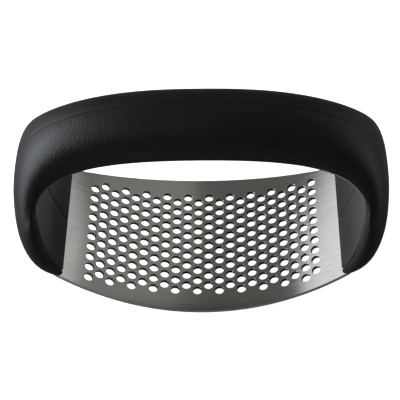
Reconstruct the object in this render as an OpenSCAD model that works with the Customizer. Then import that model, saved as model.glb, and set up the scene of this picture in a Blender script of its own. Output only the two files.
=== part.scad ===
// Rocking garlic press: a curved perforated steel plate closed into a ring by a soft-grip
// arch handle. Two hollow half frames meet on the middle plane, trap the plate's turned-up
// end tabs between them, and are held together by pressed dowels. Each half frame carries
// its own moulded soft skin.
// X runs along the press, Y from front to rear, Z up. The origin is the lowest point of the
// plate's underside, where the press rocks.

/* [Press plate] */
// Length of plate that shows between the handle's two inner walls
press_l = 88; // [74:0.5:106]
// Width of the plate from front edge to rear edge, at the middle
plate_w = 56; // [50:0.5:66]
// Radius of the plate's underside, on which the press rocks
plate_r = 91.1; // [80:0.1:110]
// Thickness of the steel
plate_t = 1.2; // [0.8:0.1:2]
// Radius of the bowed front and rear edges, seen from above
edge_r = 217; // [180:1:400]
// How far the plate's full width carries on under the handle, past the inner wall
plate_reach = 3; // [2:0.1:5]

/* [Perforation] */
// Diameter of a hole
hole_d = 3; // [2:0.1:3.6]
// Distance between neighbouring holes
hole_pitch = 4.2; // [3.8:0.1:6]
// Least distance from the inner wall to the centre of the nearest hole
end_margin = 6.6; // [5:0.1:12]
// Least distance from the plate's side edge to the centre of the nearest hole
side_margin = 4.5; // [3.5:0.1:9]

/* [End tabs] */
// Width of the tab that turns up into each handle end
tab_w = 34; // [24:0.5:38]
// Straight height of the tab above its bend
tab_h = 12; // [8:0.5:14]
// Angle between the tab and the board that the press stands on
tab_lean = 72; // [66:1:78]
// Bend radius at the middle of the steel
bend_r = 2.4; // [1.6:0.1:3]
// Radius of the notch that keys each side of the tab into its half frame
notch_r = 2; // [1:0.1:3]
// Gap between the steel and the slot that holds it
slot_gap = 0.1; // [0.05:0.05:0.3]

/* [Handle ring] */
// Height of the bar's top above the board
ring_h = 67.9; // [60:0.1:82]
// Thickness of the bar, from its underside to its top
bar_t = 15; // [13:0.1:18]
// Height of the widest point of the outside
outer_wide_h = 32.2; // [28:0.1:38]
// Height of the widest point of the opening
inner_wide_h = 38.8; // [34:0.1:44]
// How far each inner wall bulges outwards from where it meets the plate
side_bulge = 6.6; // [4:0.1:10]
// Thickness of the handle at its widest point
side_t = 8.6; // [8:0.1:12]
// Length of the handle's foot beyond the inner wall, along the plate
foot_l = 9.5; // [8:0.1:11]
// Depth of the bar, front to rear
bar_depth = 24; // [20:0.5:30]
// Depth of the shoulder, front to rear, a third of the way down
shoulder_depth = 33; // [30:0.5:40]
// Depth of the side, front to rear, two thirds of the way down
side_depth = 49.6; // [44:0.5:56]
// Depth of the foot, front to rear
foot_depth = 45; // [44:0.5:52]

/* [Handle section] */
// Thickness of the soft skin
skin_t = 1.2; // [0.8:0.1:1.6]
// Wall of the hollow half frame
wall_t = 2; // [1.6:0.1:2.4]
// Reach of the rolled rim from the side face to the inner wall, on the bar
rim_bar = 5; // [3:0.1:6]
// Reach of the rolled rim from the side face to the inner wall, at the foot
rim_foot = 2.4; // [2:0.1:4]
// Height of the rim's fullest point, as a share of the handle's thickness
rim_share = 0.24; // [0.22:0.01:0.4]
// Bevel of each half along the seam
seam_bevel = 0.3; // [0.1:0.1:0.5]

/* [Dowels] */
// Diameter of a dowel
dowel_d = 2.5; // [2:0.1:3]
// Length of a dowel
dowel_l = 14; // [10:0.5:18]
// Wall of the round boss that holds a dowel in the bar
boss_t = 1.6; // [1.2:0.1:2]
// Clearance at each end of a dowel
dowel_end_gap = 0.3; // [0.1:0.1:1]

/* [Hidden] */
$fn = 64;
edge_fn = 200;
far = 200;

// Plate
mid_r = plate_r - plate_t / 2;
wall_x = press_l / 2;
bend_x = wall_x + plate_reach;
bend_a = asin(bend_x / mid_r);
col_step = hole_pitch * sqrt(3) / 2;
last_x = wall_x - end_margin;
step_a = col_step / mid_r * 180 / PI;
cols = floor(2 * asin(last_x / mid_r) / step_a) + 1;
rows = floor((2 * edge_y(last_x) - 2 * side_margin - hole_pitch / 2) / hole_pitch) + 1;
function edge_y(x) = plate_w / 2 - edge_r + sqrt(edge_r * edge_r - x * x);
function under_z(x) = plate_r - sqrt(plate_r * plate_r - x * x);
// Centre of the bend at the right end. The bend draws the steel a little thinner.
bend_cx = bend_x - bend_r * sin(bend_a);
bend_cz = plate_r - mid_r * cos(bend_a) + bend_r * cos(bend_a);
bend_thin = 0.01;
bend_steps = 6;
// Turn by which the tab's profile runs back into the plate, so that the two are one piece
root_a = 1;

// Handle ring: two curves seen from the front, each a rounded arch above its widest height
// and a rounded bowl below it, cut off where it reaches the plate's underside.
arch_pow = 2.6;
bowl_pow = 2.05;
in_arch_pow = 2.1;
in_bowl_pow = 1.5;
out_ax = wall_x + side_bulge + side_t;
in_ax = wall_x + side_bulge;
foot_x = wall_x + foot_l;
function bowl_b(zc, x, ax, p) = (zc - under_z(x)) / pow(1 - pow(x / ax, p), 1 / p);
function end_a(zc, x, b, p) = asin(pow((zc - under_z(x)) / b, p / 2));
out_b = bowl_b(outer_wide_h, foot_x, out_ax, bowl_pow);
in_b = bowl_b(inner_wide_h, wall_x, in_ax, in_bowl_pow);
out_end = end_a(outer_wide_h, foot_x, out_b, bowl_pow);
in_end = end_a(inner_wide_h, wall_x, in_b, in_bowl_pow);
// Point of a curve at the angle a: ax is its half length, bt and bb its heights above and
// below zc, and pt and pb the powers of its arch and its bowl.
function curve_x(a, ax, pt, pb) = ax * pow(abs(cos(a)), 2 / (a > 0 ? pt : pb));
function curve_z(a, zc, bt, bb, pt, pb) =
    a > 0 ? zc + bt * pow(sin(a), 2 / pt) : zc - bb * pow(abs(sin(a)), 2 / pb);
// Station k runs from -1 at the left foot over 0 at the middle of the bar to 1.
function turn(k, end) = 90 - abs(k) * (90 + end);
function out_pt(k) = let (a = turn(k, out_end)) [
    sign(k) * curve_x(a, out_ax, arch_pow, bowl_pow),
    curve_z(a, outer_wide_h, ring_h - outer_wide_h, out_b, arch_pow, bowl_pow)];
function in_pt(k) = let (a = turn(k, in_end)) [
    sign(k) * curve_x(a, in_ax, in_arch_pow, in_bowl_pow),
    curve_z(a, inner_wide_h, ring_h - bar_t - inner_wide_h, in_b, in_arch_pow, in_bowl_pow)];
function mid_z(k) = (in_pt(k)[1] + out_pt(k)[1]) / 2;
// Height of a station between the foot, 0, and the bar, 1
function rise(k) = (mid_z(k) - mid_z(1)) / (mid_z(0) - mid_z(1));
// Half depth: the smooth cubic through the four depths at rises of 0, 1/3, 2/3 and 1
function half_depth(k) = let (w = 3 * rise(k)) (
    foot_depth * (1 - w) * (2 - w) * (3 - w) / 6
    + side_depth * w * (2 - w) * (3 - w) / 2
    + shoulder_depth * w * (w - 1) * (3 - w) / 2
    + bar_depth * w * (w - 1) * (w - 2) / 6) / 2;
function rim(k) = rim_foot + (rim_bar - rim_foot) * rise(k);
function thick(k) = norm(out_pt(k) - in_pt(k));

// Section: y runs forwards to the side face, h from the inner wall to the crown
rim_pow = 2;
crown_pow = 2.44;
rim_steps = 4;
crown_steps = 7;
function quarter(n, i) = 90 * i / n;
// Crown from the seam to the fullest point, at a depth d under the surface
function crown(k, d) = let (a = half_depth(k) - d, s = rim_share * thick(k), t = thick(k) - d)
    [for (i = [0 : crown_steps]) let (q = quarter(crown_steps, i))
        [a * pow(sin(q), 2 / crown_pow), s + (t - s) * pow(cos(q), 2 / crown_pow)]];
// Rolled rim from below the fullest point to the inner wall
function roll(k, d) = let (c = half_depth(k) - rim(k), r = rim(k) - d, s = rim_share * thick(k))
    [for (i = [1 : rim_steps]) let (q = quarter(rim_steps, i))
        [c + r * pow(cos(q), 2 / rim_pow), s + (d - s) * pow(sin(q), 2 / rim_pow)]];
function reversed(v) = [for (i = [len(v) - 1 : -1 : 0]) v[i]];
// A section is two paths that start at the seam on the crown side: the outer face and the
// inner face of the piece.
function grip_section(k) = let (t = thick(k), o = crown(k, 0)) [
    concat([[0, t - seam_bevel], [seam_bevel, o[0][1]]], [for (j = [1 : crown_steps]) o[j]],
        roll(k, 0)),
    concat(crown(k, skin_t), roll(k, skin_t))];
// Outline of the hollow from the roof to the floor, as shares of its depth and its height
hollow_shape = [[0, 1], [0.6, 1], [0.88, 0.8], [1, 0.4], [0.95, 0], [0, 0]];
// The half frame is hollow along the bar and sides. Its ends are solid, apart from a shallow
// relief in the mating face. The side wall is as thick as the roof and the floor.
function hollow_depth(k) = abs(k) < block_k ? half_depth(k) - skin_t - wall_t : mating_relief;
function core_section(k) = let (t = thick(k) - skin_t - wall_t, a = hollow_depth(k)) [
    concat(crown(k, skin_t), roll(k, skin_t),
        [[half_depth(k) - rim(k), 0], [seam_bevel, 0], [0, seam_bevel]]),
    [for (p = hollow_shape) [a * p[0], wall_t + (t - wall_t) * p[1]]]];

// A section carried round the whole ring; side is -1 for the front half and 1 for the rear
function place(k, p, side) = let (a = in_pt(k), n = (out_pt(k) - a) / thick(k))
    [a[0] + n[0] * p[1], side * p[0], a[1] + n[1] * p[1]];
function turned(f, flip) = flip ? reversed(f) : f;
module swept(stations, sections, side) {
    no = len(sections[0][0]);
    ni = len(sections[0][1]);
    m = no + ni;
    last = len(stations) - 1;
    pts = [for (i = [0 : last]) for (p = concat(sections[i][0], reversed(sections[i][1])))
        place(stations[i], p, side)];
    function at(i, j) = i * m + j % m;
    function facing(j) = m - 1 - round(j * (ni - 1) / (no - 1));
    walls = [for (i = [0 : last - 1], j = [0 : m - 1])
        for (f = [[at(i, j), at(i + 1, j), at(i + 1, j + 1)],
                [at(i, j), at(i + 1, j + 1), at(i, j + 1)]])
            turned(f, side > 0)];
    function cap(i) = concat(
        [for (j = [0 : no - 2]) [at(i, j), at(i, j + 1), at(i, facing(j))]],
        [for (j = [0 : no - 2]) if (facing(j) != facing(j + 1))
            [at(i, j + 1), at(i, facing(j + 1)), at(i, facing(j))]]);
    ends = concat([for (f = cap(0)) turned(f, side > 0)],
        [for (f = cap(last)) turned(f, side < 0)]);
    polyhedron(points = pts, faces = concat(walls, ends));
}

// Stations of the ring. The half frame is solid beyond block_k on each side.
ring_steps = 48;
ring_k = [for (i = [0 : ring_steps]) 2 * i / ring_steps - 1];
block_k = 0.56;
mating_relief = 0.15;
// Stations of the dowels: three in the bar, and one in each solid end
dowel_k = [-0.62, -0.22, 0, 0.22, 0.62];
function dowel_at(k) = (in_pt(k) + out_pt(k)) / 2 - (out_pt(k) - in_pt(k)) / thick(k) * skin_t / 2;

// Ring sector of the plate between the angles a0 and a1 from its lowest line, seen from the
// front, with its thickness grown by e each way
module plate_arc(a0, a1, e) {
    translate([0, plate_r]) intersection() {
        difference() {
            circle(mid_r + plate_t / 2 + e);
            circle(mid_r - plate_t / 2 - e);
        }
        polygon([[0, 0], far * [sin(a0), -cos(a0)], far * [sin(a1), -cos(a1)]]);
    }
}
module extrude_y(w) {
    rotate([90, 0, 0]) translate([0, 0, -w / 2]) linear_extrude(w) children();
}
// Bend and tab at the right end, grown by e
function on_bend(a) = [bend_cx + bend_r * sin(a), bend_cz - bend_r * cos(a)];
function tab_line(e) = concat(
    [[bend_a, [mid_r * sin(bend_a - root_a), plate_r - mid_r * cos(bend_a - root_a)]]],
    [for (i = [0 : bend_steps]) let (a = bend_a + (tab_lean - bend_a) * i / bend_steps)
        [a, on_bend(a)]],
    [[tab_lean, on_bend(tab_lean) + (tab_h + e) * [cos(tab_lean), sin(tab_lean)]]]);
function beside(v, d) = [for (p = v) p[1] + d * [-sin(p[0]), cos(p[0])]];
module end_tab(e) {
    half = plate_t / 2 - bend_thin + e;
    difference() {
        extrude_y(tab_w + 2 * e)
            polygon(concat(beside(tab_line(e), half), reversed(beside(tab_line(e), -half))));
        for (s = [-1, 1])
            translate([on_bend(tab_lean)[0], s * (tab_w / 2 + e), on_bend(tab_lean)[1]])
                rotate([0, -tab_lean, 0]) translate([tab_h / 2, 0, -plate_t])
                    cylinder(r = notch_r - e, h = 2 * plate_t);
    }
}
module both_ends() {
    children();
    mirror([1, 0, 0]) children();
}
// What the handle must leave free for the plate
module plate_space() {
    reach = bend_a + slot_gap / mid_r * 180 / PI;
    extrude_y(far) plate_arc(-reach, reach, slot_gap);
    both_ends() end_tab(slot_gap);
}
// Both bowed edges of the plate, seen from above
module edge_outline() {
    intersection() {
        translate([0, plate_w / 2 - edge_r, -1]) cylinder(r = edge_r, h = far, $fn = edge_fn);
        translate([0, edge_r - plate_w / 2, -1]) cylinder(r = edge_r, h = far, $fn = edge_fn);
    }
}
// Stretch of plate between two angles, cut to the bowed edges
module plate_strip(a0, a1) {
    intersection() {
        extrude_y(far) plate_arc(a0, a1, 0);
        edge_outline();
    }
}
// One column of holes, drilled square to the steel; neighbouring columns are staggered
module hole_column(c) {
    for (r = [0 : rows - 1])
        translate([0, (r - (rows - 1) / 2 + (c % 2 - 0.5) / 2) * hole_pitch, plate_r])
            rotate([0, 180 - (c - (cols - 1) / 2) * step_a, 0])
                cylinder(d = hole_d, h = plate_r + plate_t);
}

module press_plate() {
    holed_a = cols / 2 * step_a;
    color("silver") union() {
        for (c = [0 : cols - 1])
            difference() {
                plate_strip((c - cols / 2) * step_a, (c + 1 - cols / 2) * step_a);
                hole_column(c);
            }
        both_ends() {
            plate_strip(holed_a, bend_a);
            end_tab(0);
        }
    }
}

// One half of the rigid frame
module core(side) {
    difference() {
        union() {
            swept(ring_k, [for (k = ring_k) core_section(k)], side);
            for (k = dowel_k)
                if (abs(k) < block_k)
                    translate([dowel_at(k)[0], 0, dowel_at(k)[1]])
                        rotate([side < 0 ? 90 : -90, 0, 0])
                            cylinder(d = dowel_d + 2 * boss_t,
                                h = half_depth(k) - skin_t - wall_t / 2);
        }
        plate_space();
        for (k = dowel_k)
            translate([dowel_at(k)[0], 0, dowel_at(k)[1]]) rotate([90, 0, 0])
                cylinder(d = dowel_d, h = dowel_l + 2 * dowel_end_gap, center = true);
    }
}
// One half of the soft skin
module grip(side) {
    difference() {
        swept(ring_k, [for (k = ring_k) grip_section(k)], side);
        plate_space();
    }
}
module front_core() { color("dimgray") core(-1); }
module rear_core() { color("dimgray") core(1); }
module front_grip() { color("#1a1a1c") grip(-1); }
module rear_grip() { color("#1a1a1c") grip(1); }

module dowel_pins() {
    color("lightsteelblue") for (k = dowel_k)
        translate([dowel_at(k)[0], 0, dowel_at(k)[1]]) rotate([90, 0, 0])
            cylinder(d = dowel_d, h = dowel_l, center = true);
}

press_plate();
front_core();
rear_core();
front_grip();
rear_grip();
dowel_pins();
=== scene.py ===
"""Looks of a rocking garlic press: a curved perforated steel plate in a soft-grip arch handle.

X runs along the press, Y from front to rear and Z up, in metres. The plate's underside touches
the board at the origin. Every piece is worked out from the sizes below, and stands for the solid
of the same name in the fixed frame.
"""

import bmesh
import bpy
import numpy as np
from bpy.props import FloatProperty, FloatVectorProperty, IntProperty, PointerProperty
from bpy.types import Operator, Panel, PropertyGroup
from mathutils import Matrix, Vector


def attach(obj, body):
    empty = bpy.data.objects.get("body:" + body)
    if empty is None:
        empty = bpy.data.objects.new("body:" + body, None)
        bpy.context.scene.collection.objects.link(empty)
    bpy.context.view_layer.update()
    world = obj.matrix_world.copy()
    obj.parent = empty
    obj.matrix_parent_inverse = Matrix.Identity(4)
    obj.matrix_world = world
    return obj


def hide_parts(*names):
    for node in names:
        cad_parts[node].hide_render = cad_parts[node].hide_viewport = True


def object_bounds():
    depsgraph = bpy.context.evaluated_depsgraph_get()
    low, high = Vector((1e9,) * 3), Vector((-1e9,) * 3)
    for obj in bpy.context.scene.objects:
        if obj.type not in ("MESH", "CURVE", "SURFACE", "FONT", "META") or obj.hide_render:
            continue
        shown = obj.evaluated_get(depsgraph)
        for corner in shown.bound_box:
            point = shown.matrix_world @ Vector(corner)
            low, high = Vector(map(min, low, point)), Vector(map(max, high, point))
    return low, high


bl_info = {
    "name": "Rocking Garlic Press",
    "version": (1, 0, 0),
    "blender": (4, 5, 0),
    "location": "3D View > Sidebar > Garlic Press",
    "description": "Builds the press plate, the handle and a studio from their sizes and finishes",
    "category": "Add Mesh",
}

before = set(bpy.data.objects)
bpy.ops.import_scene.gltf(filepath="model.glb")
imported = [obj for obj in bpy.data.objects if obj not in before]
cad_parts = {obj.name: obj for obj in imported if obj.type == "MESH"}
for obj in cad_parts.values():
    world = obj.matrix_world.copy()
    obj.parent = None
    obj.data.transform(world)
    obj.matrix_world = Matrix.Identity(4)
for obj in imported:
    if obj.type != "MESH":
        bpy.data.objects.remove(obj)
bpy.context.view_layer.update()
FRAME_BOX = [list(corner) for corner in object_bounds()]
MM = 0.001
MIDDLE = (0.0, 0.0, 0.03)


# Sizes and finishes -------------------------------------------------------------------------


def length(name, mm, text):
    """A size property, given in millimetres and kept in metres."""
    return FloatProperty(
        name=name, description=text, default=mm * MM, min=0.0, precision=5, unit="LENGTH"
    )


def share(name, value, text):
    """A plain number property between 0 and 1."""
    return FloatProperty(
        name=name, description=text, default=value, min=0.0, max=1.0, subtype="FACTOR"
    )


def tint(name, value, text):
    """A linear colour property."""
    return FloatVectorProperty(
        name=name, description=text, default=value, size=3, min=0.0, max=1.0, subtype="COLOR"
    )


class PressPlateSizes(PropertyGroup):
    """Sizes of the perforated plate."""

    press_l: length("Press length", 88, "Plate that shows between the two inner walls")
    plate_w: length("Width", (FRAME_BOX[1][1] - FRAME_BOX[0][1]) / MM, "Front edge to rear edge")
    plate_r: length("Rocking radius", 91.1, "Radius of the underside")
    plate_t: length("Thickness", 1.2, "Thickness of the steel")
    edge_r: length("Edge radius", 217, "Radius of the bowed front and rear edges")
    plate_reach: length("Reach", 3, "How far the full width carries on under the handle")
    hole_d: length("Hole diameter", 3, "Diameter of a hole")
    hole_pitch: length("Hole pitch", 4.2, "Distance between neighbouring holes")
    hole_cols: IntProperty(name="Columns", description="Columns of holes", default=22, min=2)
    hole_rows: IntProperty(name="Rows", description="Holes in a column", default=10, min=1)
    cell_across: IntProperty(
        name="Points across", description="Points along the short side of a cell", default=7, min=3
    )
    cell_along: IntProperty(
        name="Steps along", description="Even number of steps along its long side", default=8, min=4
    )
    deburr: length("Deburr", 0.08, "Rounding of the hole rims and edges")
    land: length("Land", 0.14, "Flat band round a hole, the rounding included")
    bend_r: length("Bend radius", 2.4, "Radius of the bend at the middle of the steel")
    tab_w: length("Tab width", 34, "Width of the tab that turns up into each handle end")
    tab_h: length("Tab height", 12, "Straight height of the tab")
    tab_lean: FloatProperty(
        name="Tab lean",
        description="Angle between the tab and the board",
        default=np.radians(72),
        subtype="ANGLE",
    )
    notch_r: length("Notch radius", 2, "Radius of the notch in each side of the tab")


class PressHandleSizes(PropertyGroup):
    """Sizes of the handle ring and its section."""

    ring_h: length("Ring height", FRAME_BOX[1][2] / MM, "Height of the bar's top")
    bar_t: length("Bar thickness", 15, "From the bar's underside to its top")
    outer_wide_h: length("Outer waist", 32.2, "Height of the widest point of the outside")
    inner_wide_h: length("Inner waist", 38.8, "Height of the widest point of the opening")
    side_bulge: length("Wall bulge", 6.6, "Bulge of each inner wall from the plate outwards")
    side_t: length("Side thickness", 8.6, "Thickness at the widest point")
    foot_l: length("Foot length", 9.5, "Length of the foot beyond the inner wall")
    bar_depth: length("Bar depth", 24, "Front to rear, at the bar")
    shoulder_depth: length("Shoulder depth", 33, "Front to rear, a third of the way down")
    side_depth: length("Side depth", 49.6, "Front to rear, two thirds of the way down")
    foot_depth: length("Foot depth", 45, "Front to rear, at the foot")
    skin_t: length("Skin", 1.2, "Thickness of the soft skin")
    wall_t: length("Shell wall", 2, "Wall of the hollow half frame")
    rim_bar: length("Bar rim", 5, "Reach of the rolled rim on the bar")
    rim_foot: length("Foot rim", 2.4, "Reach of the rolled rim at the foot")
    rim_share: share("Rim height", 0.24, "Height of the rim's fullest point in the thickness")
    skin_seam: length("Skin seam", 0.24, "Rounding of each skin along the middle seam")
    wall_seam: length("Wall seam", 0.5, "Bevel of each half frame along the middle seam")
    skin_edge: length("Skin edge", 0.32, "Rounding of the skin where it meets the inner wall")
    lip_gap: length("Lip groove width", 0.5, "Groove between the skin and the inner wall")
    lip_deep: length("Lip groove depth", 0.42, "Depth of that groove")
    lip_round: length("Lip rounding", 0.42, "Rounding of the inner wall's border")
    foot_round: length("Foot rounding", 0.7, "Rounding of the skin round the foot's end")
    slot_gap: length("Slot gap", 0.1, "Gap between the steel and its slot")


class PressFinish(PropertyGroup):
    """Colours and finishes."""

    steel: tint("Steel", (0.60, 0.597, 0.58), "Colour of the stainless sheet")
    steel_rough: share("Steel roughness", 0.16, "Roughness of the satin steel")
    skin: tint("Skin", (0.0042, 0.0042, 0.0048), "Colour of the soft-touch skin")
    skin_rough: share("Skin roughness", 0.47, "Roughness of the soft-touch skin")
    shell: tint("Frame", (0.0075, 0.0075, 0.009), "Colour of the moulded half frames")
    shell_rough: share("Frame roughness", 0.40, "Roughness of the moulded half frames")
    pin: tint("Pin", (0.52, 0.53, 0.55), "Colour of the ground dowels")
    floor: tint("Floor", (0.82, 0.82, 0.82), "Colour of the floor")
    board: tint("Board", (0.32, 0.32, 0.335), "Colour of the board that light bounces off")


# Meshes -------------------------------------------------------------------------------------


def new_piece(name, points, faces, sharp=0.7):
    """Makes a smooth-shaded mesh object, with edges turning more than sharp radians kept crisp."""
    mesh = bpy.data.meshes.new(name)
    mesh.from_pydata(points.tolist(), [], faces)
    mesh.validate()
    mesh.shade_smooth()
    mesh.set_sharp_from_angle(angle=sharp)
    piece = bpy.data.objects.new(name, mesh)
    bpy.context.scene.collection.objects.link(piece)
    return piece


def outward(piece):
    """Turns the faces of a closed mesh outwards."""
    cage = bmesh.new()
    cage.from_mesh(piece.data)
    bmesh.ops.recalc_face_normals(cage, faces=cage.faces)
    cage.to_mesh(piece.data)
    cage.free()


def bake_modifiers(piece):
    """Applies the piece's modifiers to its mesh."""
    bpy.context.view_layer.update()
    graph = bpy.context.evaluated_depsgraph_get()
    done = bpy.data.meshes.new_from_object(
        piece.evaluated_get(graph), preserve_all_data_layers=True, depsgraph=graph
    )
    old = piece.data
    piece.modifiers.clear()
    piece.data = done
    bpy.data.meshes.remove(old)
    done.name = piece.name


def stand_for(piece, node, material):
    """The piece rides on the body, takes its finish from the slot and stands for the node."""
    piece.data.materials.clear()
    piece.data.materials.append(material)
    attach(piece, "root")
    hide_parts(node)


def grid_faces(rows, cols):
    """Quads between neighbouring points of a grid that is stored row by row."""
    i, j = np.meshgrid(np.arange(rows - 1), np.arange(cols - 1), indexing="ij")
    a = (i * cols + j).ravel()
    return np.stack([a, a + 1, a + cols + 1, a + cols], 1)


def tube_faces(rows, cols):
    """Quads between neighbouring closed rings of cols points."""
    i, j = np.meshgrid(np.arange(rows - 1), np.arange(cols), indexing="ij")
    here, after = (i * cols + j).ravel(), (i * cols + (j + 1) % cols).ravel()
    return np.stack([here, after, after + cols, here + cols], 1)


# Press plate --------------------------------------------------------------------------------


def under_z(size, x):
    """Height of the underside: a circle of the rocking radius that touches the board."""
    return size.plate_r - np.sqrt(size.plate_r**2 - x**2)


def edge_y(size, x):
    """Half width at x: a circular arc whose crown is half the plate's width from the middle."""
    return size.plate_w / 2 - size.edge_r + np.sqrt(size.edge_r**2 - x**2)


class PlateSheet:
    """The steel sheet as a function of the length s along its middle and of y."""

    def __init__(self, size):
        self.size = size
        self.mid_r = size.plate_r - size.plate_t / 2
        self.bend_a = np.arcsin((size.press_l / 2 + size.plate_reach) / self.mid_r)
        self.bend_s = self.mid_r * self.bend_a
        self.bend_l = size.bend_r * (size.tab_lean - self.bend_a)
        self.col_step = size.hole_pitch * np.sqrt(3) / 2

    def at(self, flat, depth):
        """Points at (s, y), depth below the upper face. The middle line is a circle of the middle
        radius up to the bend, then a circle of the bend radius up to the tab's lean, then
        straight, and a point stands off it square to its slope."""
        size = self.size
        s, y = np.abs(flat[:, 0]), flat[:, 1]
        bent = np.clip(s - self.bend_s, 0, self.bend_l)
        slope = np.minimum(s, self.bend_s) / self.mid_r + bent / size.bend_r
        straight = np.maximum(s - self.bend_s - self.bend_l, 0)
        bowl = np.minimum(s, self.bend_s) / self.mid_r
        x = self.mid_r * np.sin(bowl) + size.bend_r * (np.sin(slope) - np.sin(bowl))
        z = size.plate_r - self.mid_r * np.cos(bowl)
        z = z + size.bend_r * (np.cos(bowl) - np.cos(slope))
        off = size.plate_t / 2 - depth
        x = x + straight * np.cos(slope) - off * np.sin(slope)
        z = z + straight * np.sin(slope) + off * np.cos(slope)
        return np.stack([np.sign(flat[:, 0]) * x, y, z], 1)

    def x_at(self, s):
        """X of the middle line at the length s, within the bowl."""
        return self.mid_r * np.sin(s / self.mid_r)


def hole_cells(size, sheet):
    """Flat quads of all the hole cells: round each centre, the spokes from a circle of the hole's
    radius over one a land wider to a rectangle one column step wide and one pitch high, all at
    the same bearing."""
    around, beside = size.cell_across, size.cell_along
    wide, high = sheet.col_step / 2, size.hole_pitch / 2
    across = np.linspace(-wide, wide, around)[:-1]
    along = np.linspace(-high, high, beside + 1)[:-1]
    rect = np.concatenate(
        [
            np.stack([across, np.full(around - 1, -high)], 1),
            np.stack([np.full(beside, wide), along], 1),
            np.stack([-across, np.full(around - 1, high)], 1),
            np.stack([np.full(beside, -wide), -along], 1),
        ]
    )
    circle = rect / np.linalg.norm(rect, axis=1)[:, None] * size.hole_d / 2
    band = circle * (1 + 2 * size.land / size.hole_d)
    count = len(rect)
    ring = np.arange(count)
    after = np.roll(ring, -1)
    quads = np.stack([ring, after, after + count, ring + count], 1)
    quads = np.concatenate([quads, quads + count])
    col, row = np.meshgrid(np.arange(size.hole_cols), np.arange(size.hole_rows), indexing="ij")
    centre_s = (col - (size.hole_cols - 1) / 2) * sheet.col_step
    centre_y = (row - (size.hole_rows - 1) / 2 + (col % 2 - 0.5) / 2) * size.hole_pitch
    centres = np.stack([centre_s.ravel(), centre_y.ravel()], 1)
    cell = np.concatenate([rect, band, circle])
    points = (centres[:, None, :] + cell[None]).reshape(-1, 2)
    faces = (quads[None] + (np.arange(len(centres)) * len(cell))[:, None, None]).reshape(-1, 4)
    return points, faces


def flat_grid(s, y):
    """Flat quads over the lengths s, where y holds one row of widths for each length."""
    points = np.stack([np.broadcast_to(s[:, None], y.shape), y], -1).reshape(-1, 2)
    return points, grid_faces(*y.shape)


def plate_regions(size, sheet, margin=6, bend_points=8, tab_steps=24):
    """All the flat regions of the sheet: hole cells, half cells at the column ends, margins to
    the bowed edges, plain ends and tabs. Neighbours share their points."""
    around, beside = size.cell_across, size.cell_along
    step = size.hole_pitch / beside
    half_rows = (size.hole_rows + 0.5) / 2 * size.hole_pitch
    s_hole = size.hole_cols / 2 * sheet.col_step
    lattice = np.round(half_rows * 2 / step).astype(int)
    widths = -half_rows + step * np.arange(lattice + 1)
    regions = [hole_cells(size, sheet)]
    out = np.linspace(0, 1, margin + 1)

    def to_edge(s, side):
        edge = edge_y(size, sheet.x_at(s))[:, None]
        return side * (half_rows + (edge - half_rows) * out[None, :])

    for col in range(size.hole_cols):
        s = np.linspace(0, sheet.col_step, around) + (col - size.hole_cols / 2) * sheet.col_step
        spare = widths[-beside // 2 - 1 :] if col % 2 == 0 else widths[: beside // 2 + 1]
        regions.append(flat_grid(s, np.broadcast_to(spare, (len(s), len(spare)))))
        regions += [flat_grid(s, to_edge(s, side)) for side in (-1, 1)]
    skip = int(np.ceil((half_rows - size.tab_w / 2) / step))
    tab_y = widths[skip:-skip]
    bend = np.linspace(0, sheet.bend_l, bend_points)
    rise = np.concatenate([bend, bend[-1] + np.linspace(0, size.tab_h, tab_steps + 1)[1:]])
    notch = size.notch_r**2 - (rise - sheet.bend_l - size.tab_h / 2) ** 2
    half_w = tab_y[-1] + (size.tab_w / 2 - tab_y[-1]) * np.minimum(rise / sheet.bend_l, 1)
    half_w = half_w - np.sqrt(np.maximum(notch, 0))
    for end in (-1, 1):
        s = end * np.linspace(s_hole, sheet.bend_s, margin + 1)
        regions.append(flat_grid(s, np.broadcast_to(widths, (len(s), len(widths)))))
        regions += [flat_grid(s, to_edge(s, side)) for side in (-1, 1)]
        regions.append(
            flat_grid(end * (sheet.bend_s + rise), half_w[:, None] * tab_y / tab_y[-1])
        )
    return regions


def weld(regions, grain=1e-6):
    """Joins flat regions, merging the points that round to the same place."""
    points, faces, start = [], [], 0
    for p, f in regions:
        points.append(p)
        faces.append(f + start)
        start += len(p)
    points, faces = np.concatenate(points), np.concatenate(faces)
    keys = np.round(points / grain).astype(np.int64)
    _, first, inverse = np.unique(keys, axis=0, return_index=True, return_inverse=True)
    return points[first], inverse.reshape(-1)[faces]


def make_plate(size):
    """The flat net with its holes, laid on both faces of the sheet and closed by a wall along
    every edge that only one quad uses."""
    sheet = PlateSheet(size)
    flat, quads = weld(plate_regions(size, sheet))
    a, b = flat[quads[:, 1]] - flat[quads[:, 0]], flat[quads[:, 2]] - flat[quads[:, 1]]
    clockwise = a[:, 0] * b[:, 1] - a[:, 1] * b[:, 0] < 0
    quads[clockwise] = quads[clockwise][:, ::-1]
    edges = np.stack([quads, np.roll(quads, -1, 1)], -1).reshape(-1, 2)
    _, index, count = np.unique(np.sort(edges, 1), axis=0, return_index=True, return_counts=True)
    rim = edges[index[count == 1]]
    total = len(flat)
    walls = np.stack([rim[:, 1], rim[:, 0], rim[:, 0] + total, rim[:, 1] + total], 1)
    points = np.concatenate([sheet.at(flat, 0.0), sheet.at(flat, size.plate_t)])
    faces = np.concatenate([quads, quads[:, ::-1] + total, walls])
    piece = new_piece("press_plate_sheet", points, faces.tolist(), sharp=3.2)
    bevel = piece.modifiers.new("deburr", "BEVEL")
    bevel.width, bevel.segments, bevel.angle_limit = size.deburr, 2, np.radians(50)
    bevel.limit_method, bevel.miter_outer = "ANGLE", "MITER_SHARP"
    bake_modifiers(piece)
    finish_plate(piece.data, size, sheet)
    return piece


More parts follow.
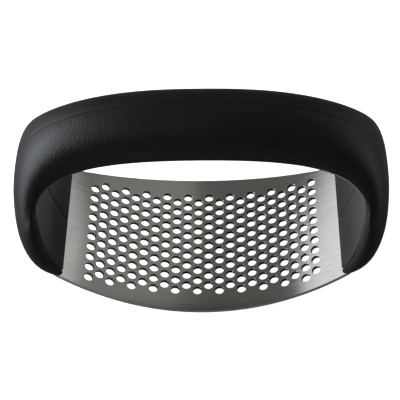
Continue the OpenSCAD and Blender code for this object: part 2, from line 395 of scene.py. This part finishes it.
def finish_plate(mesh, size, sheet, near=2e-6):
    """Gives both faces of the bowl the normals of their circles, so that the net of quads
    doesn't show in the steel, and marks the punched walls of the holes, which the steel
    darkens with painted shade and makes rougher."""
    points = np.empty(len(mesh.vertices) * 3, dtype=np.float32)
    mesh.vertices.foreach_get("co", points)
    x, y, z = points.reshape(-1, 3).astype(float).T
    up = np.stack([-x, np.zeros_like(x), size.plate_r - z], 1)
    r = np.linalg.norm(up, axis=1)
    bowl = np.abs(x) < sheet.x_at(sheet.bend_s) * 0.999
    top = bowl & (np.abs(r - size.plate_r + size.plate_t) < near)
    under = bowl & (np.abs(r - size.plate_r) < near)
    normals = up / r[:, None] * (top.astype(float) - under)[:, None]
    mesh.normals_split_custom_set_from_vertices(normals.tolist())
    rows = (size.hole_rows + 0.5) / 2 * size.hole_pitch
    cols = sheet.x_at(size.hole_cols / 2 * sheet.col_step)
    inside = (np.abs(x) < cols) & (np.abs(y) < rows - near) & ~top & ~under
    deep = np.abs(r - sheet.mid_r) < size.plate_t / 2 - size.deburr * 0.9
    # Mask of the hole walls: the steel paints shade on them and roughens them
    punched = mesh.attributes.new("punched", "FLOAT", "POINT")
    punched.data.foreach_set("value", (inside & deep).astype(np.float32))


# Handle -------------------------------------------------------------------------------------


# Powers of the handle's curves: a power of 2 is an ellipse, and a higher one is squarer
OUTER_ARCH, OUTER_BOWL, INNER_ARCH, INNER_BOWL, CROWN = 2.6, 2.05, 2.1, 1.5, 2.44


class RingCurve:
    """One curve of the handle seen from the front: an arch and a bowl of different powers that
    meet at the widest height, cut off where the bowl reaches the plate's underside."""

    def __init__(self, plate, half, wide_h, top, foot_x, arch, bowl):
        self.half, self.wide_h, self.up = half, wide_h, top - wide_h
        self.arch, self.bowl = arch, bowl
        drop = wide_h - under_z(plate, foot_x)
        self.down = drop / (1 - (foot_x / half) ** bowl) ** (1 / bowl)
        self.end = np.arcsin((drop / self.down) ** (bowl / 2))

    def at(self, k):
        """Point at the station k: x is half times |cos| to 2/power, and z is the widest height
        plus or minus the height of arch or bowl times |sin| to 2/power."""
        turn = np.pi / 2 - np.abs(k) * (np.pi / 2 + self.end)
        power = 2 / np.where(turn > 0, self.arch, self.bowl)
        x = np.sign(k) * self.half * np.abs(np.cos(turn)) ** power
        reach = np.where(turn > 0, self.up, -self.down)
        return np.stack([x, self.wide_h + reach * np.abs(np.sin(turn)) ** power], -1)


class HandleRing:
    """The handle's two curves and the section between them at each station k, which runs from
    -1 at the left foot over 0 at the middle of the bar to 1 at the right foot."""

    def __init__(self, plate, size):
        self.size = size
        wall = plate.press_l / 2
        inner_half = wall + size.side_bulge
        self.outer = RingCurve(
            plate, inner_half + size.side_t, size.outer_wide_h, size.ring_h,
            wall + size.foot_l, OUTER_ARCH, OUTER_BOWL,
        )
        self.inner = RingCurve(
            plate, inner_half, size.inner_wide_h, size.ring_h - size.bar_t,
            wall, INNER_ARCH, INNER_BOWL,
        )

    def mid_z(self, k):
        return (self.outer.at(k)[..., 1] + self.inner.at(k)[..., 1]) / 2

    def rise(self, k):
        """Height of the station between the foot, 0, and the bar, 1."""
        low, high = self.mid_z(np.array(1.0)), self.mid_z(np.array(0.0))
        return (self.mid_z(k) - low) / (high - low)

    def half_depth(self, k):
        """Half of the cubic through the four depths at rises of 0, 1/3, 2/3 and 1."""
        size, w = self.size, 3 * self.rise(k)
        return (
            size.foot_depth * (1 - w) * (2 - w) * (3 - w) / 6
            + size.side_depth * w * (2 - w) * (3 - w) / 2
            + size.shoulder_depth * w * (w - 1) * (3 - w) / 2
            + size.bar_depth * w * (w - 1) * (w - 2) / 6
        ) / 2

    def thick(self, k):
        return np.linalg.norm(self.outer.at(k) - self.inner.at(k), axis=-1)

    def rim(self, k):
        return self.size.rim_foot + (self.size.rim_bar - self.size.rim_foot) * self.rise(k)

    def crown(self, k, depth, q):
        """Face from the middle seam to the fullest point, at a depth under the skin: y is the
        half depth times sin to 2/power, and h rises from the rim's height by cos to 2/power."""
        half, thick = (self.half_depth(k) - depth)[:, None], (self.thick(k) - depth)[:, None]
        low = self.size.rim_share * self.thick(k)[:, None]
        power = 2 / CROWN
        return np.stack(
            [half * np.sin(q) ** power, low + (thick - low) * np.cos(q) ** power], -1
        )

    def roll(self, k, depth, q):
        """Rolled rim from the fullest point to the inner wall: a quarter ellipse as wide as the
        rim's reach and as high as the rim."""
        reach = (self.rim(k) - depth)[:, None]
        start = (self.half_depth(k) - self.rim(k))[:, None]
        low = self.size.rim_share * self.thick(k)[:, None]
        depth = np.broadcast_to(depth, k.shape)[:, None]
        return np.stack([start + reach * np.cos(q), low + (depth - low) * np.sin(q)], -1)

    def place(self, k, section, side):
        """Carries sections, (stations, points, [y, h]), round the ring: h is measured from the
        inner curve towards the outer one, and y to the front or the rear."""
        inner, outer = self.inner.at(k), self.outer.at(k)
        n = ((outer - inner) / self.thick(k)[:, None])[:, None, :]
        line = inner[:, None, :] + n * section[..., 1:2]
        return np.stack([line[..., 0], side * section[..., 0], line[..., 1]], -1)

    def stations(self, count):
        """Stations evenly spaced along the middle of the ring."""
        k = np.linspace(-1, 1, 4001)
        line = (self.outer.at(k) + self.inner.at(k)) / 2
        run = np.concatenate([[0], np.cumsum(np.linalg.norm(np.diff(line, axis=0), axis=1))])
        return np.interp(np.linspace(0, run[-1], count), run, k), run[-1]


def quarter(count):
    """Angles from 0 to a quarter turn."""
    return np.linspace(0, np.pi / 2, count)


def arc(centre, radius, angles):
    """Points of circular arcs, one for each station: centre plus radius times (cos, sin)."""
    swing = np.stack([np.cos(angles), np.sin(angles)], -1)
    return centre[:, None, :] + radius * swing[None]


def swept(name, ring, k, outside, inside, side):
    """Closed solid whose section runs along the outside path and back along the inside path,
    with equal counts of points, so that each end is closed by quads between the two."""
    section = np.concatenate([outside, inside[:, ::-1]], 1)
    points = ring.place(k, section, side)
    rows, cols = points.shape[:2]
    near = np.arange(outside.shape[1] - 1)
    far = cols - 1 - near
    cap = np.stack([near, far, far - 1, near + 1], 1)
    last = (rows - 1) * cols + cap[:, ::-1]
    faces = np.concatenate([tube_faces(rows, cols), cap, last])
    piece = new_piece(name, points.reshape(-1, 3), faces.tolist())
    outward(piece)
    return piece


def end_rounding(k, run, radius, steps=6):
    """Adds stations near both ends of an even row of them, and gives each the depth that a round
    of that radius takes off there: radius times 1 - cos where the way to the end is radius
    times 1 - sin."""
    swing = quarter(steps)
    near = radius * (1 - np.sin(swing)) / run * 2
    keep = k[np.abs(k) < 1 - near[0] * 1.5]
    end_k = 1 - near
    stations = np.concatenate([-end_k[::-1], keep, end_k])
    off = radius * (1 - np.cos(swing))
    return stations, np.concatenate([off[::-1], np.zeros(len(keep)), off])


def skin_paths(ring, k, off):
    """Section of a skin: a rounded seam, the crown, the rolled rim and a rounded edge outside,
    and the same faces a skin's thickness deeper inside."""
    size, rim_points = ring.size, 17
    seam, edge = size.skin_seam, size.skin_edge
    start = np.arcsin(np.clip(seam / (ring.half_depth(k) - off), 0, 1) ** (CROWN / 2))
    q = start[:, None] + (np.pi / 2 - start)[:, None] * np.linspace(0, 1, 28)[None]
    crown = ring.crown(k, off, q)
    top = crown[:, :1, :]
    turn = np.linspace(np.pi, np.pi / 2, 5)[:-1]
    round_seam = top + seam * np.stack([np.cos(turn), np.sin(turn) - 1], -1)[None]
    stop = np.arccos(edge / ring.rim(k))
    q = stop[:, None] * np.linspace(0, 1, rim_points + 1)[None, 1:]
    roll = ring.roll(k, off, q)
    low = roll[:, -1, :] + np.stack([np.zeros_like(k), np.full_like(k, edge)], 1)
    turn = np.linspace(-np.pi / 2, -np.pi, 6)[1:]
    round_edge = arc(low, edge, turn)
    outside = np.concatenate([round_seam, crown, roll, round_edge], 1)
    count = outside.shape[1]
    deep = np.full_like(k, size.skin_t)
    upper = ring.crown(k, deep, quarter(count - rim_points + 1)[None])
    inside = np.concatenate([upper, ring.roll(k, deep, quarter(rim_points)[None, 1:])], 1)
    return outside, inside


def shell_paths(ring, k, solid_k=0.56, relief=0.15 * MM):
    """Section of a half frame: under the skin, down to the groove beside it, over a rounded lip
    to the inner wall and to the bevelled seam outside, and a hollow bulging like a half sine
    inside, which closes to a thin relief in the solid ends."""
    size = ring.size
    deep = np.full_like(k, size.skin_t)
    under = ring.crown(k, deep, quarter(20)[None])
    roll = ring.roll(k, deep, quarter(10)[None, 1:])
    border = (ring.half_depth(k) - ring.rim(k))[:, None]
    gap, dip, bend, seam = size.lip_gap, size.lip_deep, size.lip_round, size.wall_seam

    def level(y, h):
        y, h = np.broadcast_arrays(border - np.asarray(y)[None], np.asarray(h)[None])
        return np.stack([y, h], -1)

    groove = level([0.0, gap * 0.5, gap], [dip, dip, dip])
    turn = quarter(7)
    lip = level(gap + bend * (1 - np.cos(turn)), bend * (1 - np.sin(turn)) * dip / bend)
    lip_end = lip[:, -1:, 0]
    way = np.linspace(0, 1, 12)[None, 1:]
    y = lip_end + (seam - lip_end) * way
    wall = np.stack([y, np.zeros_like(y)], -1)
    turn = quarter(5)[1:]
    y = np.broadcast_to(seam * (1 - np.sin(turn)), (len(k), len(turn)))
    h = np.broadcast_to(seam * 0.9 * (1 - np.cos(turn)), (len(k), len(turn)))
    outside = np.concatenate([under, roll, groove, lip, wall, np.stack([y, h], -1)], 1)
    hollow = ring.half_depth(k) - size.skin_t - size.wall_t
    hollow = np.where(np.abs(k) < solid_k, hollow, relief)[:, None]
    roof = (ring.thick(k) - size.skin_t - size.wall_t)[:, None]
    swing = np.linspace(0, np.pi, outside.shape[1])[None]
    h = size.wall_t + (roof - size.wall_t) * (1 + np.cos(swing)) / 2
    inside = np.stack([hollow * np.abs(np.sin(swing)) ** 0.6, h], -1)
    return outside, inside


def plate_room(plate, gap, drop=4 * MM, reach_y=45 * MM):
    """Cutter for what the handle leaves free for the plate: a sheet between two circles round
    the plate's centre, from a gap above the steel to well below it."""
    mid_r = plate.plate_r - plate.plate_t / 2
    end = np.arcsin((plate.press_l / 2 + plate.plate_reach) / mid_r) + gap / mid_r
    a = np.linspace(-end, end, 121)[:, None]
    above, below = plate.plate_r - plate.plate_t - gap, plate.plate_r + drop
    r = np.array([above, below, below, above])
    y = np.broadcast_to([-reach_y, -reach_y, reach_y, reach_y], (len(a), 4))
    points = np.stack([r * np.sin(a), y, plate.plate_r - r * np.cos(a)], -1).reshape(-1, 3)
    last = len(points) - 4
    caps = [[0, 1, 2, 3], [last + 3, last + 2, last + 1, last]]
    faces = tube_faces(len(a), 4).tolist() + caps
    piece = new_piece("plate_room", points, faces)
    outward(piece)
    return piece


def cut(piece, cutter, sharp=0.6):
    """Takes the cutter out of the piece."""
    boolean = piece.modifiers.new("slot", "BOOLEAN")
    boolean.operation, boolean.solver, boolean.object = "DIFFERENCE", "MANIFOLD", cutter
    bake_modifiers(piece)
    if len(piece.data.polygons) < 100:
        raise RuntimeError(f"cutting {piece.name} left nothing")
    piece.data.shade_smooth()
    piece.data.set_sharp_from_angle(angle=sharp)


# Materials ----------------------------------------------------------------------------------


class Wire:
    """A socket that takes part in expressions: every operator adds a Math node."""

    def __init__(self, maker, socket):
        self.maker, self.socket = maker, socket

    def math(self, operation, *values):
        return self.maker.add("ShaderNodeMath", {"operation": operation}, dict(enumerate(values)))

    def __add__(self, other):
        return self.math("ADD", self, other)

    def __sub__(self, other):
        return self.math("SUBTRACT", self, other)

    def __rsub__(self, other):
        return self.math("SUBTRACT", other, self)

    def __mul__(self, other):
        return self.math("MULTIPLY", self, other)

    __radd__ = __add__
    __rmul__ = __mul__

    def above(self, low, high):
        """0 up to low, 1 from high on, and smooth in between."""
        return self.maker.add(
            "ShaderNodeMapRange",
            {"interpolation_type": "SMOOTHSTEP"},
            {"Value": self, "From Min": low, "From Max": high},
        )


class Finish:
    """Builds one node-based material."""

    def __init__(self, name, owner=None):
        self.owner = owner or bpy.data.materials.new(name)
        self.owner.use_nodes = True
        self.tree = self.owner.node_tree
        self.tree.nodes.clear()

    def add(self, kind, settings=None, inputs=None, output=0):
        """Adds a node: its settings first, a ramp's stops among them, then each input's value or
        link. Gives the output as a Wire."""
        node = self.tree.nodes.new(kind)
        for key, value in (settings or {}).items():
            if key == "stops":
                ramp = node.color_ramp.elements
                while len(ramp) < len(value):
                    ramp.new(1.0)
                for element, (place, colour) in zip(ramp, value):
                    element.position, element.color = place, colour
            else:
                setattr(node, key, value)
        for key, value in (inputs or {}).items():
            if isinstance(value, Wire):
                self.tree.links.new(value.socket, node.inputs[key])
            else:
                node.inputs[key].default_value = value
        return Wire(self, node.outputs[output]) if node.outputs else None

    def coords(self, scale=(1, 1, 1), turn=(0, 0, 0)):
        """Object coordinates in millimetres, stretched and turned."""
        place = self.add("ShaderNodeTexCoord", output="Object")
        return self.add(
            "ShaderNodeMapping",
            inputs={
                "Vector": place,
                "Rotation": turn,
                "Scale": tuple(x / MM for x in scale),
            },
        )

    def noise(self, place, scale, detail=2.0, rough=0.5, bend=0.0):
        return self.add(
            "ShaderNodeTexNoise",
            inputs={
                "Vector": place, "Scale": scale, "Detail": detail, "Roughness": rough,
                "Distortion": bend,
            },
        )

    def mix(self, factor, first, second):
        """Colour between two colours."""
        return self.add(
            "ShaderNodeMix", {"data_type": "RGBA"}, {0: factor, 6: first, 7: second}, output=2
        )

    def bump(self, height, far, before=None):
        inputs = {"Height": height, "Distance": far, "Strength": 1.0}
        if before:
            inputs["Normal"] = before
        return self.add("ShaderNodeBump", inputs=inputs)

    def surface(self, **inputs):
        """Ends the material in one Principled shader."""
        named = {key.replace("_", " "): value for key, value in inputs.items()}
        shader = self.add("ShaderNodeBsdfPrincipled", inputs=named)
        self.add("ShaderNodeOutputMaterial", inputs={"Surface": shader})
        return self.owner


def rgba(colour, gain=1.0):
    return (*(min(c * gain, 1.0) for c in colour), 1.0)


def satin_steel(finish):
    """Stainless sheet with a fine grain along the press: thin streaks in height and gloss, a few
    longer hairlines and faint cloudy patches where it has been handled. The walls of the holes
    get painted shade, a dark mottled steel, and a rougher finish."""
    m = Finish("satin_steel")
    grain = m.noise(m.coords((0.045, 7.0, 0.6)), 1.0, 3.0, 0.6)
    streak = m.noise(m.coords((0.02, 1.7, 0.2)), 1.0, 2.0, 0.55)
    cloud = m.noise(m.coords((0.05, 0.09, 0.05)), 1.0, 3.0, 0.5, 0.4)
    hair = m.noise(m.coords((0.03, 4.2, 0.3), (0, 0, 0.035)), 1.0, 1.0, 0.5)
    hairline = hair.above(0.70, 0.76)
    tone = (grain * 0.35 + streak * 0.65).above(0.3, 0.7)
    colour = m.mix(tone, rgba(finish.steel, 0.93), rgba(finish.steel, 1.05))
    rough = finish.steel_rough + (cloud - 0.5) * 0.10 + (streak - 0.5) * 0.10 + hairline * 0.08
    normal = m.bump(grain, 0.0022 * MM)
    normal = m.bump(streak - hairline * 0.35, 0.006 * MM, normal)
    # Hole walls: painted shade, the steel colour cut to a tenth to a quarter and mottled; the added
    # roughness is the sheared wall's own
    punched = m.add("ShaderNodeAttribute", {"attribute_name": "punched"}, output="Fac")
    wall_shade_mottle = m.noise(m.coords((3.0, 3.0, 1.2)), 1.0, 2.0)
    dark = m.mix(wall_shade_mottle, rgba(finish.steel, 0.10), rgba(finish.steel, 0.26))
    colour = m.mix(punched, colour, dark)
    rough = rough + punched * 0.22
    return m.surface(Base_Color=colour, Metallic=1.0, Roughness=rough, Normal=normal)


def soft_skin(finish):
    """Black soft-touch rubber: a fine pebbled bloom, broad faint flow marks and slightly
    glossier patches where a palm has polished it."""
    m = Finish("soft_touch_black")
    place = m.coords()
    pebble = m.add(
        "ShaderNodeTexVoronoi", {"feature": "SMOOTH_F1"},
        {"Vector": place, "Scale": 1.7, "Smoothness": 0.6, "Randomness": 1.0},
    )
    fine = m.noise(place, 7.0, 3.0, 0.6)
    flow = m.noise(place, 0.07, 3.0, 0.5, 0.6)
    worn = m.noise(place, 0.045, 2.0, 0.5).above(0.5, 0.68)
    colour = m.mix(flow.above(0.3, 0.72), rgba(finish.skin, 0.8), rgba(finish.skin, 1.25))
    rough = finish.skin_rough + (flow - 0.5) * 0.07 + (fine - 0.5) * 0.10 - worn * 0.035
    normal = m.bump(pebble * 0.7 + fine * 0.3, 0.09 * MM)
    return m.surface(
        Base_Color=colour, Roughness=rough, Normal=normal, IOR=1.38
    )


def moulded_frame(finish):
    """Black moulded plastic of the half frames: spark-eroded stipple, long faint flow lines and
    a few glossier scuffs."""
    m = Finish("moulded_black")
    place = m.coords()
    stipple = m.noise(place, 4.5, 4.0, 0.65)
    flow = m.noise(m.coords((0.10, 0.5, 0.10)), 1.0, 3.0, 0.5, 0.5)
    scuff = m.noise(m.coords((0.9, 0.16, 0.9), (0.5, 0, 0)), 1.0, 2.0, 0.5).above(0.66, 0.74)
    colour = m.mix(flow.above(0.3, 0.7), rgba(finish.shell, 0.85), rgba(finish.shell, 1.2))
    rough = finish.shell_rough + (stipple - 0.5) * 0.16 + (flow - 0.5) * 0.06 - scuff * 0.05
    return m.surface(
        Base_Color=colour, Roughness=rough, Normal=m.bump(stipple, 0.02 * MM), IOR=1.38
    )


def ground_pin(finish):
    """Dowels: ground steel with grinding rings round each pin's length."""
    m = Finish("ground_pin")
    rings = m.noise(m.coords((0.25, 9.0, 0.25)), 1.0, 3.0, 0.6)
    stain = m.noise(m.coords(), 0.6, 2.0)
    colour = m.mix(stain, rgba(finish.pin, 0.85), rgba(finish.pin, 1.08))
    return m.surface(
        Base_Color=colour, Metallic=1.0, Roughness=0.26 + (rings - 0.5) * 0.12,
        Normal=m.bump(rings, 0.004 * MM),
    )


def bright_floor(finish):
    """Plain pale floor: an even glow over a matt white, with the faintest paper tooth."""
    m = Finish("pale_floor")
    tooth = m.noise(m.coords(), 0.8, 2.0)
    colour = m.mix(tooth, rgba(finish.floor, 0.99), rgba(finish.floor, 1.01))
    return m.surface(
        Base_Color=colour, Roughness=0.9, Emission_Color=(1, 1, 1, 1), Emission_Strength=0.95
    )


def matt_board(finish):
    """Plain grey board that light bounces off."""
    return Finish("matt_board").surface(Base_Color=rgba(finish.board), Roughness=0.9)


# Operators ----------------------------------------------------------------------------------


class PRESS_OT_plate(Operator):
    """Builds the curved perforated plate with its turned-up end tabs"""

    bl_idname = "garlic_press.plate"
    bl_label = "Press Plate"

    def execute(self, context):
        scene = context.scene
        piece = make_plate(scene.press_plate_sizes)
        stand_for(piece, "press_plate", satin_steel(scene.press_finish))
        return {"FINISHED"}


class PRESS_OT_frame(Operator):
    """Builds the two hollow half frames of the handle, with the inner walls"""

    bl_idname = "garlic_press.half_frames"
    bl_label = "Half Frames"

    def execute(self, context):
        scene = context.scene
        ring = HandleRing(scene.press_plate_sizes, scene.press_handle_sizes)
        k, _ = ring.stations(169)
        outside, inside = shell_paths(ring, k)
        cutter = plate_room(scene.press_plate_sizes, scene.press_handle_sizes.slot_gap)
        material = moulded_frame(scene.press_finish)
        for name, side in (("front", -1), ("rear", 1)):
            piece = swept(f"{name}_half_frame", ring, k, outside, inside, side)
            cut(piece, cutter)
            stand_for(piece, f"{name}_core", material)
        bpy.data.objects.remove(cutter)
        return {"FINISHED"}


class PRESS_OT_skin(Operator):
    """Builds the front and rear soft skins of the handle"""

    bl_idname = "garlic_press.skins"
    bl_label = "Soft Skins"

    def execute(self, context):
        scene = context.scene
        size = scene.press_handle_sizes
        ring = HandleRing(scene.press_plate_sizes, size)
        k, run = ring.stations(169)
        k, off = end_rounding(k, run, size.foot_round)
        outside, inside = skin_paths(ring, k, off)
        cutter = plate_room(scene.press_plate_sizes, size.slot_gap)
        material = soft_skin(scene.press_finish)
        for name, side in (("front", -1), ("rear", 1)):
            piece = swept(f"{name}_soft_skin", ring, k, outside, inside, side)
            cut(piece, cutter)
            stand_for(piece, f"{name}_grip", material)
        bpy.data.objects.remove(cutter)
        return {"FINISHED"}


class PRESS_OT_pins(Operator):
    """Gives the dowels inside the handle their ground steel"""

    bl_idname = "garlic_press.pins"
    bl_label = "Dowel Pins"

    def execute(self, context):
        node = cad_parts["dowel_pins"]
        node.data.materials.clear()
        node.data.materials.append(ground_pin(context.scene.press_finish))
        return {"FINISHED"}


def softbox(name, spot, wide, high, glow, colour):
    """A rectangular light of even brightness, glow, that faces the middle."""
    light = bpy.data.lights.new(name, "AREA")
    light.shape, light.size, light.size_y = "RECTANGLE", wide, high
    light.energy = glow * np.pi * wide * high
    light.color = colour
    lamp = bpy.data.objects.new(name, light)
    lamp.location = spot
    lamp.rotation_euler = (Vector(MIDDLE) - Vector(spot)).to_track_quat("-Z", "Y").to_euler()
    bpy.context.scene.collection.objects.link(lamp)
    return lamp


def from_bearing(bearing, height, far):
    """Spot at a bearing from +Y towards -X and a height, both in degrees, from the middle."""
    a, e = np.radians(bearing), np.radians(height)
    way = np.array([-np.sin(a) * np.cos(e), np.cos(a) * np.cos(e), np.sin(e)])
    return tuple(np.array(MIDDLE) + far * way)


# Light boxes: name, bearing and height in degrees, width, height, brightness and colour
BOX_FAR = 0.8
BOXES = (
    ("key_box", 89, 20, 0.94, 0.62, 6.0, (0.90, 0.95, 1.0)),
    ("left_rear_box", 50.5, 22, 0.33, 0.54, 1.0, (0.96, 0.98, 1.0)),
    ("right_rear_box", -57, 20, 0.5, 0.45, 0.58, (1, 0.99, 1)),
    ("fill_box", -24, 44, 0.45, 0.28, 0.15, (1.0, 0.98, 0.93)),
    ("right_low_box", -92, 12, 0.5, 0.4, 1.6, (0.95, 0.97, 1.0)),
)


# Camera: its place, the angles it is lifted, turned and rolled by, and its focal length
CAMERA_SPOT = (0.0095748, -0.276156, 0.344603)
CAMERA_LIFT, CAMERA_YAW, CAMERA_ROLL = np.radians((49.2919, 2.1153, -2.0458))
CAMERA_LENS = 117.4477


def make_board(half=1.5, low=-0.0004, count=9):
    """The board below the press that light bounces off: a square grid."""
    side = np.linspace(-half, half, count)
    x, y = np.meshgrid(side, side, indexing="ij")
    points = np.stack([x.ravel(), y.ravel(), np.full(x.size, low)], 1)
    return new_piece("board", points, grid_faces(count, count)[:, ::-1].tolist())


def make_floor(flat=3.0, bend=1.5, tall=2.0, low=-0.0002, around=65):
    """A round floor that turns up into a wall: the profile is flat, then a quarter circle, then
    upright, and is carried round the Z axis."""
    turn = quarter(13)
    r = np.concatenate([[0.02, 0.1, 0.4], flat + bend * np.sin(turn), [flat + bend]])[:, None]
    z = np.concatenate([[0, 0, 0], bend * (1 - np.cos(turn)), [bend + tall]])[:, None] + low
    a = np.linspace(0, 2 * np.pi, around)
    points = np.stack([r * np.cos(a), r * np.sin(a), z + 0 * a], -1)
    faces = grid_faces(len(r), around).tolist() + [list(range(around - 1))]
    return new_piece("floor", points.reshape(-1, 3), faces)


def light_world(scene):
    """Surroundings that go from pale below, over dark at eye level, to dim above."""
    scene.world = bpy.data.worlds.new("studio")
    sky = Finish("studio", owner=scene.world)
    way = sky.add("ShaderNodeTexCoord", output="Generated")
    height = sky.add("ShaderNodeSeparateXYZ", inputs={0: way}, output="Z")
    tone = sky.add(
        "ShaderNodeValToRGB",
        {"stops": [(0.12, (0.42, 0.42, 0.43, 1)), (0.30, (0.13, 0.13, 0.14, 1)),
                   (0.62, (0.09, 0.09, 0.09, 1)), (0.88, (0.13, 0.13, 0.12, 1))]},
        {"Fac": height * 0.5 + 0.5},
    )
    shade = sky.add("ShaderNodeBackground", inputs={"Color": tone, "Strength": 1.0})
    sky.add("ShaderNodeOutputWorld", inputs={"Surface": shade})


def place_camera(scene):
    """Camera above the front edge, turned a little to the right and rolled a little."""
    lift, yaw, roll = CAMERA_LIFT, CAMERA_YAW, CAMERA_ROLL
    back = np.array([np.sin(yaw) * np.cos(lift), -np.cos(yaw) * np.cos(lift), np.sin(lift)])
    level = np.array([np.cos(yaw), np.sin(yaw), 0.0])
    up = np.cross(back, level)
    right = level * np.cos(roll) + up * np.sin(roll)
    upward = up * np.cos(roll) - level * np.sin(roll)
    data = bpy.data.cameras.new("camera")
    data.lens, data.sensor_width = CAMERA_LENS, 36.0
    data.clip_start, data.clip_end = 0.01, 20.0
    camera = bpy.data.objects.new("camera", data)
    turn = Matrix(np.stack([right, upward, back], 1).tolist()).to_4x4()
    camera.matrix_world = Matrix.Translation(CAMERA_SPOT) @ turn
    scene.collection.objects.link(camera)
    scene.camera = camera


class PRESS_OT_stage(Operator):
    """Sets up the pale floor, the soft studio lights and the camera"""

    bl_idname = "garlic_press.stage"
    bl_label = "Stage"

    def execute(self, context):
        scene = context.scene
        floor, board = make_floor(), make_board()
        floor.data.materials.append(bright_floor(scene.press_finish))
        board.data.materials.append(matt_board(scene.press_finish))
        floor.visible_diffuse = floor.visible_glossy = floor.visible_shadow = False
        board.visible_camera = False
        for name, bearing, height, wide, high, glow, colour in BOXES:
            softbox(name, from_bearing(bearing, height, BOX_FAR), wide, high, glow, colour)
        light_world(scene)
        scene.view_settings.view_transform = "Standard"
        scene.view_settings.look = "None"
        place_camera(scene)
        return {"FINISHED"}


class PRESS_PT_panel(Panel):
    """Lists the sizes, the finishes and the steps of the press"""

    bl_label = "Garlic Press"
    bl_idname = "PRESS_PT_panel"
    bl_space_type = "VIEW_3D"
    bl_region_type = "UI"
    bl_category = "Garlic Press"

    def draw(self, context):
        scene = context.scene
        for title, group in (
            ("Plate", scene.press_plate_sizes),
            ("Handle", scene.press_handle_sizes),
            ("Finish", scene.press_finish),
        ):
            box = self.layout.box()
            box.label(text=title)
            for name in group.__annotations__:
                box.prop(group, name)
        for step in STEPS:
            self.layout.operator(step.bl_idname)


STEPS = (PRESS_OT_plate, PRESS_OT_frame, PRESS_OT_skin, PRESS_OT_pins, PRESS_OT_stage)
GROUPS = {
    "press_plate_sizes": PressPlateSizes,
    "press_handle_sizes": PressHandleSizes,
    "press_finish": PressFinish,
}


def register():
    for kind in (*GROUPS.values(), *STEPS, PRESS_PT_panel):
        bpy.utils.register_class(kind)
    for name, kind in GROUPS.items():
        setattr(bpy.types.Scene, name, PointerProperty(type=kind))


def unregister():
    for name in GROUPS:
        delattr(bpy.types.Scene, name)
    for kind in (PRESS_PT_panel, *reversed(STEPS), *GROUPS.values()):
        bpy.utils.unregister_class(kind)


def main():
    """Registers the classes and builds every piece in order."""
    register()
    steps = bpy.ops.garlic_press
    for step in (steps.plate, steps.half_frames, steps.skins, steps.pins, steps.stage):
        step()


if __name__ == "__main__":
    main()
